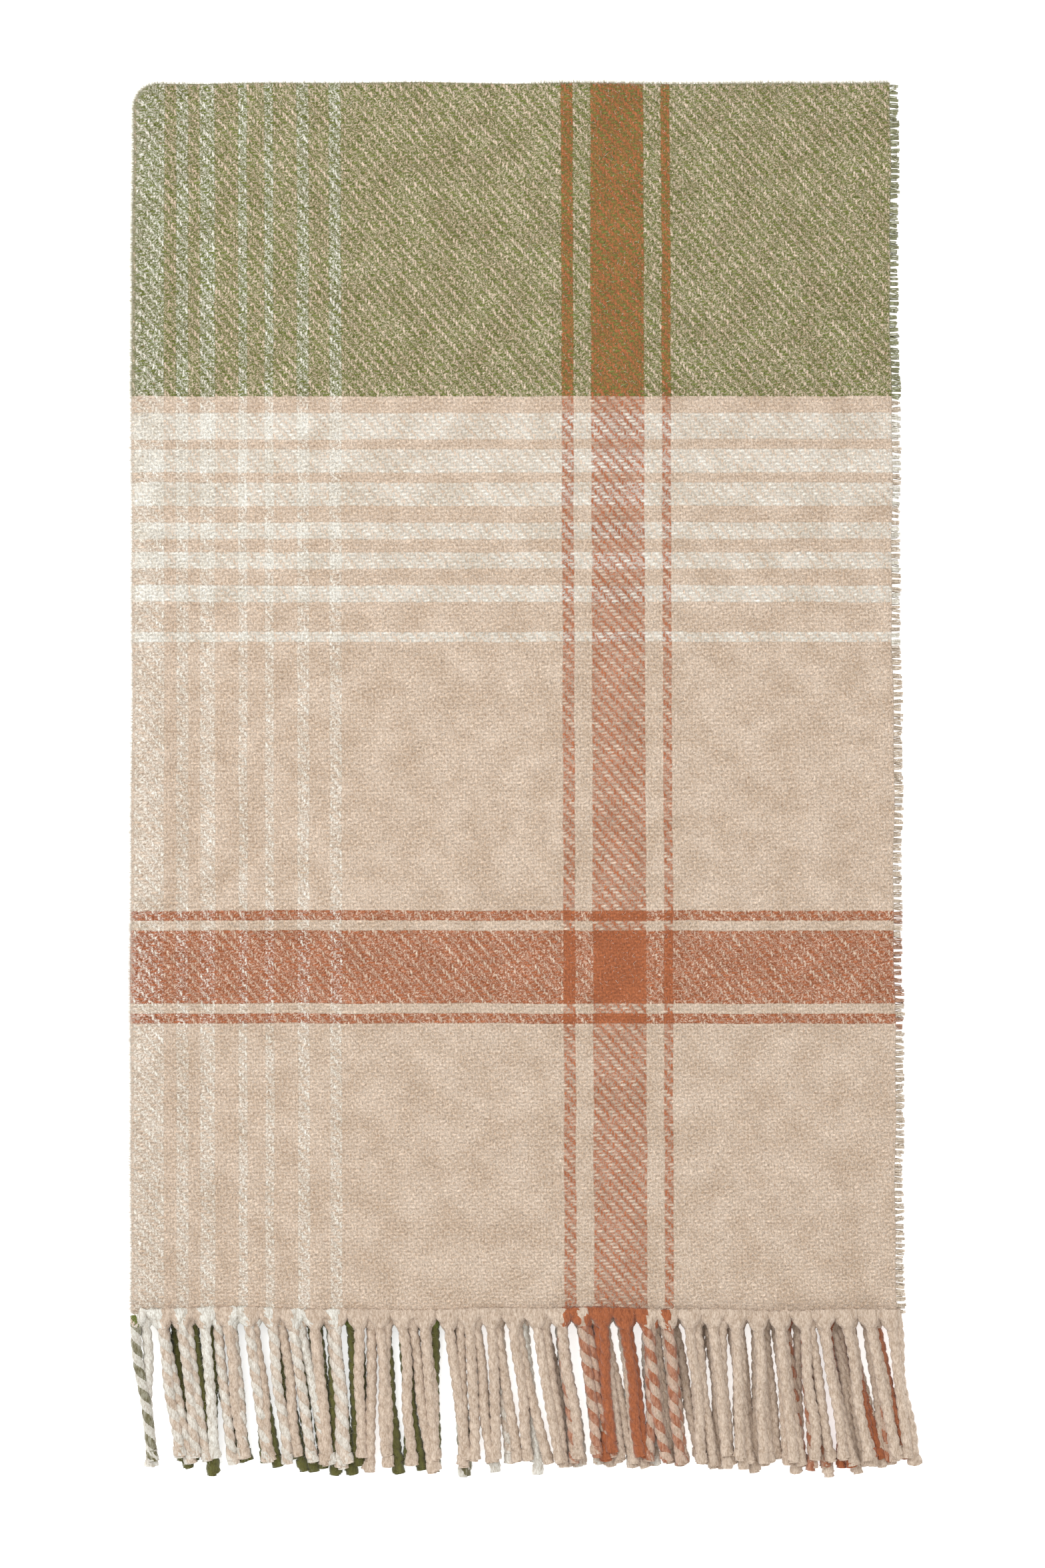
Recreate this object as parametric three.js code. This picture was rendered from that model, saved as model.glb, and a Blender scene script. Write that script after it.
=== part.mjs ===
// A fringed woollen throw, folded in half from hem to hem and then in thirds from side to side.
// It lies flat: X runs across it from the side fold, Y runs from the fringe to the top fold, Z is up.
// The doubled cloth has three parts: the back on the floor, a flap turned in from the right, and
// the front on top. Every length is in millimetres.
import * as THREE from 'three';

// The cloth: one felted layer, and the gap that is left between layers and pieces that touch.
const layerThickness = 2.7;
const gap = 0.3;
const layerStep = layerThickness + gap;
const layerCount = 6;

// The folded throw, measured from the side fold and from the hem.
const bodyLength = 880;
const frontWidthAtHem = 545;
const frontWidthAtTop = 540;
const backWidth = 538;
const flapWidth = 227;

// The fringe: two-ply tassels, each twisted from seven or eight warp ends.
const tasselPitch = 15.9;
const tasselWidth = 8.4;
const tasselTipWidth = 7.4;
const fringeLength = 104;
const longFringeLength = 112;
const headingDepth = 5;
const tasselSlant = THREE.MathUtils.degToRad(7.5);

// The cut weft ends along each selvedge.
const tuftLength = 7;
const tuftThickness = 2;
const tuftTaper = 0.7;

// Widths of the warp bands. The cream band leaves the side fold on the front, and the moss band
// leaves it on the back.
const creamBand = 146;
const oatmealBand = 161;
const rustBand = 76;
const mossBand = 225;

const roundSegments = 14;
const foldSteps = 18;

// The rolls are as high as the layers they join.
const stackHeight = layerCount * layerStep - gap;
const sideFoldRadius = stackHeight / 2;
const tuckFoldRadius = (4 * layerStep - gap) / 2;
const pairRadius = (2 * layerStep - gap) / 2;
const sideFoldX = sideFoldRadius;
const tuckFoldX = backWidth - tuckFoldRadius;
const topFoldY = bodyLength - pairRadius;

const yarn = {
  check: { color: 0xc9b79c, roughness: 0.95 },
  oatmeal: { color: 0xcdb79d, roughness: 0.95 },
  cream: { color: 0xe3dac8, roughness: 0.95 },
  moss: { color: 0x7d7a4a, roughness: 0.95 },
  rust: { color: 0xa2583a, roughness: 0.95 },
};

const throwBlanket = new THREE.Group();

function addPiece(name, geometry, finish) {
  const material = new THREE.MeshStandardMaterial({ metalness: 0, ...finish });
  const mesh = new THREE.Mesh(geometry, material);
  mesh.name = name;
  throwBlanket.add(mesh);
  return mesh;
}

function layerFloor(layer) {
  return layer * layerStep;
}

// Extrude a flat outline: across, up and along are the directions that its x, y and depth take.
function extrudeAlong(shape, depth, across, up, along) {
  const geometry = new THREE.ExtrudeGeometry(shape, {
    depth,
    bevelEnabled: false,
    curveSegments: roundSegments,
  });
  geometry.applyMatrix4(new THREE.Matrix4().makeBasis(across, up, along));
  return geometry;
}

const X = new THREE.Vector3(1, 0, 0);
const Y = new THREE.Vector3(0, 1, 0);
const Z = new THREE.Vector3(0, 0, 1);
const backwards = new THREE.Vector3(0, -1, 0);

// One layer of cloth with straight sides, given by its corners.
function addPanel(name, corners, layer) {
  const shape = new THREE.Shape(corners.map(([x, y]) => new THREE.Vector2(x, y)));
  const panel = addPiece(name, extrudeAlong(shape, layerThickness, X, Y, Z), yarn.check);
  panel.position.z = layerFloor(layer);
}

function halfRing(innerRadius, outerRadius, startAngle) {
  const shape = new THREE.Shape();
  shape.absarc(0, 0, outerRadius, startAngle, startAngle + Math.PI, false);
  shape.absarc(0, 0, innerRadius, startAngle + Math.PI, startAngle, true);
  shape.closePath();
  return shape;
}

// A layer that turns over about a line along Y, from the lower panel to the upper one.
function addSideRoll(name, x, z, outerRadius, startAngle) {
  const ring = halfRing(outerRadius - layerThickness, outerRadius, startAngle);
  const depth = topFoldY - gap;
  const roll = addPiece(name, extrudeAlong(ring, depth, X, Z, backwards), yarn.check);
  roll.position.set(x, depth, z);
}

// The doubled edge at the top, where the inner layer is the outer layer turned over.
function addTopFold(name, left, right, lowerLayer) {
  const ring = halfRing(pairRadius - layerThickness, pairRadius, -Math.PI / 2);
  const crest = addPiece(name, extrudeAlong(ring, right - left, Y, Z, X), yarn.check);
  crest.position.set(left, topFoldY, layerFloor(lowerLayer) + pairRadius);
}

// The path that the top edge follows where it goes round a side roll.
class RollPath extends THREE.Curve {
  constructor(radius, side) {
    super();
    this.radius = radius;
    this.side = side;
  }

  getPoint(t, target = new THREE.Vector3()) {
    const angle = Math.PI * (t - 0.5);
    const x = this.side * this.radius * Math.cos(angle);
    return target.set(x, 0, this.radius * Math.sin(angle));
  }
}

// The top corner of a roll: the half-round top edge, swept from the lower pair to the upper one.
function addCornerFold(name, x, z, outerRadius, side) {
  const section = new THREE.Shape();
  section.absarc(0, 0, pairRadius, Math.PI / 2, 3 * Math.PI / 2, false);
  section.closePath();
  const geometry = new THREE.ExtrudeGeometry(section, {
    extrudePath: new RollPath(outerRadius - pairRadius, side),
    steps: foldSteps,
    curveSegments: roundSegments,
  });
  addPiece(name, geometry, yarn.check).position.set(x, topFoldY, z);
}

// A run of tassels hanging from a narrow heading, as one outline with a tooth for each tassel.
function fringeOutline(left, right, length, slant) {
  const count = Math.max(1, Math.round((right - left) / tasselPitch));
  const step = (right - left) / count;
  const lean = (length - headingDepth) * Math.tan(slant);
  const outline = [[left, 0], [left, -headingDepth]];
  for (let tassel = 0; tassel < count; tassel += 1) {
    const middle = left + step * (tassel + 0.5);
    outline.push([middle - tasselWidth / 2, -headingDepth]);
    outline.push([middle + lean - tasselTipWidth / 2, -length]);
    outline.push([middle + lean + tasselTipWidth / 2, -length]);
    outline.push([middle + tasselWidth / 2, -headingDepth]);
  }
  outline.push([right, -headingDepth], [right, 0]);
  return new THREE.Shape(outline.map(([x, y]) => new THREE.Vector2(x, y)));
}

// One fringe row, split where the colour of the warp changes. A band is a name, a yarn and the
// place of its right end.
function addFringeRow(row, start, bands, layer, length, slant) {
  let left = start;
  for (const [band, finish, right] of bands) {
    const shape = fringeOutline(left + gap / 2, right - gap / 2, length, slant);
    const comb = addPiece(`${row}_${band}`, extrudeAlong(shape, layerThickness, X, Y, Z), finish);
    comb.position.set(0, -gap, layerFloor(layer));
    left = right;
  }
}

// A selvedge strip of weft tufts, thinner at its cut edge.
function addTufts(name, bottomX, topX, layer, side) {
  const profile = new THREE.Shape();
  const middle = layerThickness / 2;
  profile.moveTo(0, middle - tuftThickness / 2);
  profile.lineTo(side * tuftLength, middle - tuftTaper / 2);
  profile.lineTo(side * tuftLength, middle + tuftTaper / 2);
  profile.lineTo(0, middle + tuftThickness / 2);
  profile.closePath();
  const length = topFoldY - 2 * gap;
  const strip = addPiece(name, extrudeAlong(profile, length, X, Z, backwards), yarn.oatmeal);
  strip.rotation.z = Math.atan2(bottomX - topX, topFoldY);
  strip.position.set(topX + side * gap, length + gap, layerFloor(layer));
}

// The panels, from the floor up.
const backLeft = sideFoldX + gap;
const backRight = tuckFoldX - gap;
const flapLeft = backWidth - flapWidth;
const panelTop = topFoldY - gap;
const panelHeight = [0, panelTop];

function addPair(name, leftHem, rightHem, rightTop, outerLayer, innerLayer) {
  const [hem, top] = panelHeight;
  const corners = [[leftHem, hem], [rightHem, hem], [rightTop, top], [leftHem, top]];
  addPanel(`${name}_panel_outer`, corners, outerLayer);
  addPanel(`${name}_panel_inner`, corners, innerLayer);
  addTopFold(`${name}_top_fold`, leftHem, rightTop, Math.min(outerLayer, innerLayer));
}

addPair('back', backLeft, backRight, backRight, 0, 1);
addPair('flap', flapLeft, backRight, backRight, 3, 2);
addPair('front', backLeft, frontWidthAtHem, frontWidthAtTop, 5, 4);

// The side fold turns the back up into the front, and the tuck fold turns it into the flap.
addSideRoll('side_fold_outer', sideFoldX, sideFoldRadius, sideFoldRadius, Math.PI / 2);
addSideRoll('side_fold_inner', sideFoldX, sideFoldRadius, sideFoldRadius - layerStep, Math.PI / 2);
addSideRoll('tuck_fold_outer', tuckFoldX, tuckFoldRadius, tuckFoldRadius, -Math.PI / 2);
addSideRoll('tuck_fold_inner', tuckFoldX, tuckFoldRadius, tuckFoldRadius - layerStep, -Math.PI / 2);
addCornerFold('side_fold_corner', sideFoldX, sideFoldRadius, sideFoldRadius, -1);
addCornerFold('tuck_fold_corner', tuckFoldX, tuckFoldRadius, tuckFoldRadius, 1);

// The fringe of each layer, in its warp bands. No row crosses the line that its part turns about.
const frontBands = [
  ['cream', yarn.cream, creamBand],
  ['oatmeal', yarn.oatmeal, creamBand + oatmealBand],
  ['rust', yarn.rust, creamBand + oatmealBand + rustBand],
  ['oatmeal_edge', yarn.oatmeal, frontWidthAtHem],
];
const backBands = [
  ['moss', yarn.moss, mossBand],
  ['cream', yarn.cream, mossBand + creamBand],
  ['oatmeal', yarn.oatmeal, backRight],
];
const flapBands = [
  ['oatmeal', yarn.oatmeal, backWidth - rustBand],
  ['rust', yarn.rust, backRight],
];
addFringeRow('front_fringe_outer', backLeft, frontBands, 5, fringeLength, tasselSlant);
addFringeRow('front_fringe_inner', backLeft, frontBands, 4, fringeLength, tasselSlant);
addFringeRow('back_fringe_outer', backLeft, backBands, 0, longFringeLength, tasselSlant);
addFringeRow('back_fringe_inner', backLeft, backBands, 1, longFringeLength, tasselSlant);
addFringeRow('flap_fringe_outer', flapLeft, flapBands, 3, fringeLength, -tasselSlant);
addFringeRow('flap_fringe_inner', flapLeft, flapBands, 2, fringeLength, -tasselSlant);

// The selvedges: one at the free edge of the front, one at the free edge of the flap.
addTufts('front_tufts_outer', frontWidthAtHem, frontWidthAtTop, 5, 1);
addTufts('front_tufts_inner', frontWidthAtHem, frontWidthAtTop, 4, 1);
addTufts('flap_tufts_outer', flapLeft, flapLeft, 3, -1);
addTufts('flap_tufts_inner', flapLeft, flapLeft, 2, -1);

// Centre the throw over the point it is placed by: the middle of its underside.
const extent = new THREE.Box3().setFromObject(throwBlanket);
const middle = extent.getCenter(new THREE.Vector3());
throwBlanket.position.set(-middle.x, -middle.y, -extent.min.z);
throwBlanket.updateMatrixWorld(true);

export default throwBlanket;
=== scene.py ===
import math

import bmesh
import bpy
import numpy as np
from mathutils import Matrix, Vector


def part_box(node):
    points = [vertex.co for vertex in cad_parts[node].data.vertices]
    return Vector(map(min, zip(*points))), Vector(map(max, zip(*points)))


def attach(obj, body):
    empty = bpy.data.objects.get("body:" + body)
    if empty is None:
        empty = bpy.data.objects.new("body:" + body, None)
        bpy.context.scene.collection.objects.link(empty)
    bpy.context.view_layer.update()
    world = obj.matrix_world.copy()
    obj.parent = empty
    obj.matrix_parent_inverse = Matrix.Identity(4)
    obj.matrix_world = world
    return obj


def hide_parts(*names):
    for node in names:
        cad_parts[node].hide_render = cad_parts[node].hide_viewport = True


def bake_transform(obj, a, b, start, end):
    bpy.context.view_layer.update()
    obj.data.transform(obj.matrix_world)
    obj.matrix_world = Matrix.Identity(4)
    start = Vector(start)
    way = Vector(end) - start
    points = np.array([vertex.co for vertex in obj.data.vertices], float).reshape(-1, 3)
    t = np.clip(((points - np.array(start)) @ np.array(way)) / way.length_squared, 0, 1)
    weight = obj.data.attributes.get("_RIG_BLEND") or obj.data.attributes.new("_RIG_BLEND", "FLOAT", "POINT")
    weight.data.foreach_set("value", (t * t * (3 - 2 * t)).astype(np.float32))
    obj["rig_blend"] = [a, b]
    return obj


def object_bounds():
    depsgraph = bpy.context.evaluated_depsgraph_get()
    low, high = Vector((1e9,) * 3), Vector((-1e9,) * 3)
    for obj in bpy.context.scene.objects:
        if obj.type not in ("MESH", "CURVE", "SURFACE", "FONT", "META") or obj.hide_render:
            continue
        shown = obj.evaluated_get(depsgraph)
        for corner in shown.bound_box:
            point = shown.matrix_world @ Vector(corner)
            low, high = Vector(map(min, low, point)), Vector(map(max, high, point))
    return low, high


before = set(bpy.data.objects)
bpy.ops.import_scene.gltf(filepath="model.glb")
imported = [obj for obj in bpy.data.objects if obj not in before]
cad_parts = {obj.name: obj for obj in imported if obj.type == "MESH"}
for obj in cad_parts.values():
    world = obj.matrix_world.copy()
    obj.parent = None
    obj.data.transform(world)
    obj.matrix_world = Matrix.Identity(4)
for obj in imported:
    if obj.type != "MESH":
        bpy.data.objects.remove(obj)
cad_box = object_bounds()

# ---------------------------------------------------------------- the table and the daylight
# The throw lies on its back on a white table and is looked at from straight above.
# Light comes evenly from all round, and a little more from a wide window up and to the left.
scene = bpy.context.scene
left, hem = cad_box[0][0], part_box("front_panel_outer")[0].y
stack_height = cad_box[1][2]
view_height = 1.117
lens_length = 100.0
sensor_length = 36.0

camera = bpy.data.objects.new("camera", bpy.data.cameras.new("camera"))
camera.data.lens = lens_length
camera.data.sensor_width = sensor_length
camera.data.clip_end = 20.0
view_distance = view_height * lens_length / sensor_length
camera.location = (0.0016, -0.0050, stack_height + view_distance)
scene.collection.objects.link(camera)
scene.camera = camera
scene.view_settings.view_transform = "Standard"

world = bpy.data.worlds.new("daylight")
world.use_nodes = True
world.node_tree.nodes["Background"].inputs["Color"].default_value = (1.0, 1.0, 1.0, 1.0)
world.node_tree.nodes["Background"].inputs["Strength"].default_value = 1.02
scene.world = world

window = bpy.data.objects.new("window", bpy.data.lights.new("window", "AREA"))
window.data.size = 1.8
window.data.energy = 38.0
window.location = (-1.3, 1.2, 2.1)
window.rotation_euler = (-window.location).to_track_quat("-Z", "Y").to_euler()
scene.collection.objects.link(window)


def mesh_object(name, points, faces, edges=()):
    """A new object at the origin with this mesh."""
    mesh = bpy.data.meshes.new(name)
    corners = np.asarray(faces).tolist() if len(faces) else []
    mesh.from_pydata(np.asarray(points).tolist(), list(edges), corners)
    made = bpy.data.objects.new(name, mesh)
    scene.collection.objects.link(made)
    return made


class Flow:
    """A socket in a node tree that takes Python's own signs: an expression adds its Math nodes."""

    def __init__(self, tree, socket=None):
        self.tree = tree
        self.socket = socket

    def node(self, kind, settings=None, sockets=None, out=0):
        """Adds a node: its settings first, then the values or links of its sockets."""
        made = self.tree.nodes.new(kind)
        for key, value in (settings or {}).items():
            if key == "stops":
                stops = made.color_ramp.elements
                while len(stops) > 1:
                    stops.remove(stops[-1])
                stops[0].position, stops[0].color = value[0]
                for place, colour in value[1:]:
                    stops.new(place).color = colour
            elif key == "interpolation":
                made.color_ramp.interpolation = value
            else:
                setattr(made, key, value)
        for key, value in (sockets or {}).items():
            if isinstance(value, Flow):
                self.tree.links.new(value.socket, made.inputs[key])
            else:
                made.inputs[key].default_value = value
        return Flow(self.tree, made.outputs[out])

    def math(self, operation, *values):
        return self.node("ShaderNodeMath", {"operation": operation}, dict(enumerate(values)))

    def __add__(self, other):
        return self.math("ADD", self, other)

    def __sub__(self, other):
        return self.math("SUBTRACT", self, other)

    def __rsub__(self, other):
        return self.math("SUBTRACT", other, self)

    def __mul__(self, other):
        return self.math("MULTIPLY", self, other)

    def __truediv__(self, other):
        return self.math("DIVIDE", self, other)

    def __abs__(self):
        return self.math("ABSOLUTE", self)

    __radd__ = __add__
    __rmul__ = __mul__

    def ramp_up(self, low, high):
        """0 below low, 1 above high, and smooth between."""
        return self.node("ShaderNodeMapRange", {"interpolation_type": "SMOOTHSTEP"},
                         {"Value": self, "From Min": low, "From Max": high})

    def mixed(self, first, second):
        """The first colour where this is 0, and the second where it is 1."""
        return self.node("ShaderNodeMix", {"data_type": "RGBA"}, {0: self, 6: first, 7: second}, out=2)

    def brighter(self, amount):
        """This colour, times a number."""
        return self.node("ShaderNodeVectorMath", {"operation": "SCALE"}, {0: self, "Scale": amount})

    def times(self, factors):
        """This vector or colour, times a factor for each of its three parts."""
        return self.node("ShaderNodeVectorMath", {"operation": "MULTIPLY"}, {0: self, 1: factors})

    def point(self, x, y, z=0.0):
        return self.node("ShaderNodeCombineXYZ", {}, {0: x, 1: y, 2: z})

    def noise(self, place, scale, detail=2.0):
        return self.node("ShaderNodeTexNoise", {}, {"Vector": place, "Scale": scale, "Detail": detail})


def new_material(name):
    """A material's tree with its shader, ready for what changes over the surface."""
    made = bpy.data.materials.new(name)
    made.use_nodes = True
    return made, made.node_tree.nodes["Principled BSDF"], Flow(made.node_tree)


table_top = mesh_object("table_top", [(-6, -6, 0), (6, -6, 0), (6, 6, 0), (-6, 6, 0)], [(0, 1, 2, 3)])
table_paint, table_shader, flow = new_material("white_table")
table_shader.inputs["Roughness"].default_value = 0.9
table_shader.inputs["Specular IOR Level"].default_value = 0.1
table_shader.inputs["Emission Color"].default_value = (1.0, 1.0, 1.0, 1.0)
table_shader.inputs["Emission Strength"].default_value = 0.56
paint_spots = flow.noise(flow.node("ShaderNodeTexCoord", out="Object"), 2.0)
paint_tint = paint_spots.mixed((0.90, 0.90, 0.90, 1.0), (0.93, 0.93, 0.925, 1.0))
flow.tree.links.new(paint_tint.socket, table_shader.inputs["Base Color"])
table_top.data.materials.append(table_paint)

# ---------------------------------------------------------------- the woven cloth
# One web of brushed lambswool, woven in a 2/2 twill and milled until the yarns hardly show.
# The check comes from the order of the coloured yarns, and the same order runs in warp and weft.
OATMEAL = (0.560, 0.438, 0.336)
CREAM = (0.670, 0.632, 0.556)
MOSS = (0.122, 0.143, 0.024)
RUST = (0.345, 0.102, 0.036)
yarns = {"B": OATMEAL, "W": CREAM, "G": MOSS, "R": RUST}
warp_plan = "B2 W8 B4 W4 B4 W6 B6 W4 B6 W4 B6 W4 B8 W4 B76 R4 B4 R20 B4 R4 B78"
weft_plan = "B86 R4 B4 R20 B4 R4 B80 W4 B8 W4 B6 W4 B6 W4 B6 W6 B4 W6 B4 W8 B4 G97"
moss_band = 0.225
woven_width = 0.545
woven_length = 0.880
end_pitch = woven_width / 258
pick_pitch = woven_length / 372


def bands(plan):
    """The plan's bands as (yarn letter, ends counted up to where the band starts)."""
    count = 0
    found = []
    for band in plan.split():
        found.append((band[0], count))
        count += int(band[1:])
    return found


def yarn_at(plan, pitch, place):
    """The colour of the yarn that lies this far along the plan."""
    letter = "G" if plan is warp_plan and place < 0 else plan[0]
    for band_letter, start in bands(plan):
        if place >= start * pitch:
            letter = band_letter
    return yarns[letter]


def warp_at(across):
    """The colour of the warp this far from the side fold, mirrored about the middle of the moss band."""
    return yarn_at(warp_plan, end_pitch, abs(across + moss_band / 2) - moss_band / 2)


cloth_finish, cloth_shader, flow = new_material("check_cloth")
thread_map = flow.node("ShaderNodeUVMap", {"uv_map": "threads"})
across = flow.node("ShaderNodeSeparateXYZ", {}, {0: thread_map}, out="X")
along = flow.node("ShaderNodeSeparateXYZ", {}, {0: thread_map}, out="Y")

# No yarn runs quite straight: each wanders by a fraction of its own width.
drift = flow.noise(thread_map, 22.0)
tremble = flow.noise(thread_map, 260.0)
end_place = (across + (drift - 0.5) * 0.0022 + (tremble - 0.5) * 0.0012) / end_pitch
pick_drift = flow.noise(flow.point(along, across, 3.0), 22.0)
pick_tremble = flow.noise(flow.point(along, across, 3.0), 260.0)
pick_place = (along + (pick_drift - 0.5) * 0.0022 + (pick_tremble - 0.5) * 0.0012) / pick_pitch
end_number = end_place.math("FLOOR", end_place)
pick_number = pick_place.math("FLOOR", pick_place)

# The warp lies on top for two picks and below for two, one pick lower at every next end. A float
# shows as a short dash of its own yarn over the nap, with a painted highlight where it stands proud.
warp_step = (end_number + pick_place + 1.0) / 4.0
weft_step = (end_place + pick_number - 1.0) / 4.0
warp_float = flow.math("FLOOR", warp_step)
weft_float = flow.math("FLOOR", weft_step)
warp_luck = flow.node("ShaderNodeTexWhiteNoise", {}, {"Vector": flow.point(end_number, warp_float, 1.0)})
weft_luck = flow.node("ShaderNodeTexWhiteNoise", {}, {"Vector": flow.point(weft_float, pick_number, 2.0)})
warp_run = (warp_step - warp_float) * 4.0 - 2.0
weft_run = (weft_step - weft_float) * 4.0 - 2.0
warp_side = end_place - end_number - 0.5
weft_side = pick_place - pick_number - 0.5


def dash(run, side, half_run, half_side, slant):
    """A soft slanting dash: 1 along its middle, and 0 outside."""
    tilted = (side + run * slant) / half_side
    stretched = run / half_run
    return 1.0 - (tilted * tilted + stretched * stretched).ramp_up(0.15, 1.0)


warp_dash = dash(warp_run, warp_side, 1.10, 0.36, 0.20)
weft_dash = dash(weft_run, weft_side, 1.40, 0.40, -0.06)
warp_wave = flow.math("COSINE", warp_run * (math.pi / 2))
relief = flow.math("MAXIMUM", warp_dash, weft_dash)


def plan_stops(plan, pitch, start):
    """The ramp stops of a plan, a metre long, on a scale that starts at start."""
    return [(count * pitch - start, (*yarns[letter], 1.0)) for letter, count in bands(plan)]


warp_fold = abs((end_number + 0.5) * end_pitch + moss_band / 2)
warp_stops = [(0.0, (*MOSS, 1.0))] + plan_stops(warp_plan, end_pitch, -moss_band / 2)
warp_ramp = {"interpolation": "CONSTANT", "stops": warp_stops}
warp_yarn = flow.node("ShaderNodeValToRGB", warp_ramp, {0: warp_fold})
weft_fold = woven_length - abs((pick_number + 0.5) * pick_pitch - woven_length)
weft_stops = plan_stops(weft_plan, pick_pitch, 0.0)
weft_ramp = {"interpolation": "CONSTANT", "stops": weft_stops}
weft_yarn = flow.node("ShaderNodeValToRGB", weft_ramp, {0: weft_fold})

# Each yarn was spun from light and dark fleece, so it is lighter and darker along its length.
warp_blend = flow.noise(flow.point(end_number * 3.7, along * 90.0), 1.0)
weft_blend = flow.noise(flow.point(across * 90.0, pick_number * 3.7), 1.0)
warp_tone = warp_yarn.brighter(0.82 + warp_blend * 0.36)
weft_tone = weft_yarn.brighter(0.82 + weft_blend * 0.36)

# Of the rust yarn more shows than of the other three, whichever way it runs.
least_red = 0.13


def redness(yarn):
    """More than 0 for the rust yarn alone."""
    red = yarn.node("ShaderNodeSeparateColor", {}, {0: yarn}, out="Red")
    green = yarn.node("ShaderNodeSeparateColor", {}, {0: yarn}, out="Green")
    return yarn.math("MAXIMUM", red - green - least_red, 0.0)


rust_pull = redness(warp_yarn) - redness(weft_yarn) * 0.5

# Brushing lifts a nap of both colours that blurs the weave, more in some places than in others.
combing = flow.noise(thread_map, 120.0) - 0.5
down_hair = flow.noise(flow.point(across + combing * 0.010, along * 0.35), 1500.0, 2.0)
side_hair = flow.noise(flow.point(along + combing * 0.010, across * 0.35), 1500.0, 2.0)
hair = down_hair + side_hair - 1.0
ground_share = 0.37 + warp_wave * 0.05 + hair * 2.1 + rust_pull * 1.5
nap = ground_share.ramp_up(0.0, 1.0).mixed(weft_tone, warp_tone)
brushed = flow.noise(thread_map, 85.0, 4.0).ramp_up(0.32, 0.68)
clear = 1.05 - brushed * 0.72
weft_shows = (weft_luck.ramp_up(0.0, 0.8) * 0.95 + 0.30) * clear * weft_dash
warp_shows = (warp_luck.ramp_up(0.20, 0.95) * 1.15 + 0.06 + rust_pull * 3.0) * clear * warp_dash
# Painted highlight: a floating yarn is drawn 6 (weft) and 8 (warp) percent brighter than the same yarn.
woven = flow.math("MINIMUM", weft_shows, 0.92).mixed(nap, weft_tone.brighter(1.06))
woven = flow.math("MINIMUM", warp_shows, 0.90).mixed(woven, warp_tone.brighter(1.08))
melange = flow.noise(flow.point(across, along * 0.8, 1.0), 620.0, 4.0).ramp_up(0.28, 0.72)
clouds = flow.noise(thread_map, 42.0, 4.0).ramp_up(0.25, 0.75)
fleece = melange * 0.6 + clouds * 0.4
dark_fleece = woven.times((0.72, 0.655, 0.58))
pale_fleece = woven.times((1.20, 1.25, 1.31))
spun = fleece.mixed(dark_fleece, pale_fleece)
# Painted light and shade: proud floats lighter, hollows between yarns darker, and fibre noise lightening and
# darkening the nap in place of its relief.
relief_shaded = spun.brighter((1.0 + hair * 1.15) * (0.86 + relief * 0.16))
nep_spots = flow.noise(thread_map, 520.0, 0.0).ramp_up(0.735, 0.80)
nep_tint = (nep_spots * 0.45).mixed(relief_shaded, (0.30, 0.165, 0.085, 1.0))
pale_spots = flow.noise(flow.point(along, across, 5.0), 620.0, 0.0).ramp_up(0.70, 0.80)
final_tint = (pale_spots * 0.22).mixed(nep_tint, (0.74, 0.70, 0.64, 1.0))
flow.tree.links.new(final_tint.socket, cloth_shader.inputs["Base Color"])
wool_height = relief * 0.50 + hair * 1.1 + clouds * 0.8
wool_bump = flow.node("ShaderNodeBump", {}, {"Strength": 0.7, "Distance": 0.0006, "Height": wool_height})
flow.tree.links.new(wool_bump.socket, cloth_shader.inputs["Normal"])
cloth_shader.inputs["Roughness"].default_value = 0.95
cloth_shader.inputs["Specular IOR Level"].default_value = 0.15
cloth_shader.inputs["Sheen Weight"].default_value = 0.25
cloth_shader.inputs["Sheen Roughness"].default_value = 0.6
cloth_shader.inputs["Sheen Tint"].default_value = (1.0, 0.97, 0.93, 1.0)

# ---------------------------------------------------------------- how the folded stack lies
# Nothing holds the stack but its own weight. The front sinks where no flap lies under it,
# the edges run a little wavy, and the corner of the thick roll is rounded off.
front_low, front_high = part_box("front_panel_outer")
front_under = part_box("front_panel_inner")[0]
back_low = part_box("back_panel_outer")[0]
back_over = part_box("back_panel_inner")[1]
flap_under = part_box("flap_panel_inner")[0]
flap_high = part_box("flap_panel_outer")[1]
side_low, side_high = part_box("side_fold_outer")
tuck_low, tuck_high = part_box("tuck_fold_outer")
straight_top = front_high.y
cloth_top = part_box("front_top_fold")[1].y
folded_length = cloth_top - hem
folded_width = front_high.x - left
half_thick = (front_high.z - front_low.z) / 2
front_middle = (front_under.z + front_high.z) / 2
back_middle = (back_low.z + back_over.z) / 2
flap_middle = (flap_under.z + flap_high.z) / 2
pair_half = front_high.z - front_middle
ply_offset = pair_half - half_thick
taper_at_top = 0.005
corner_radius = 0.020
sag_depth = 0.0034
foot_spread = 0.0018


def smooth(value, low, high):
    """0 below low, 1 above high, and smooth between."""
    share = np.clip((value - low) / (high - low), 0.0, 1.0)
    return share * share * (3 - 2 * share)


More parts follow.
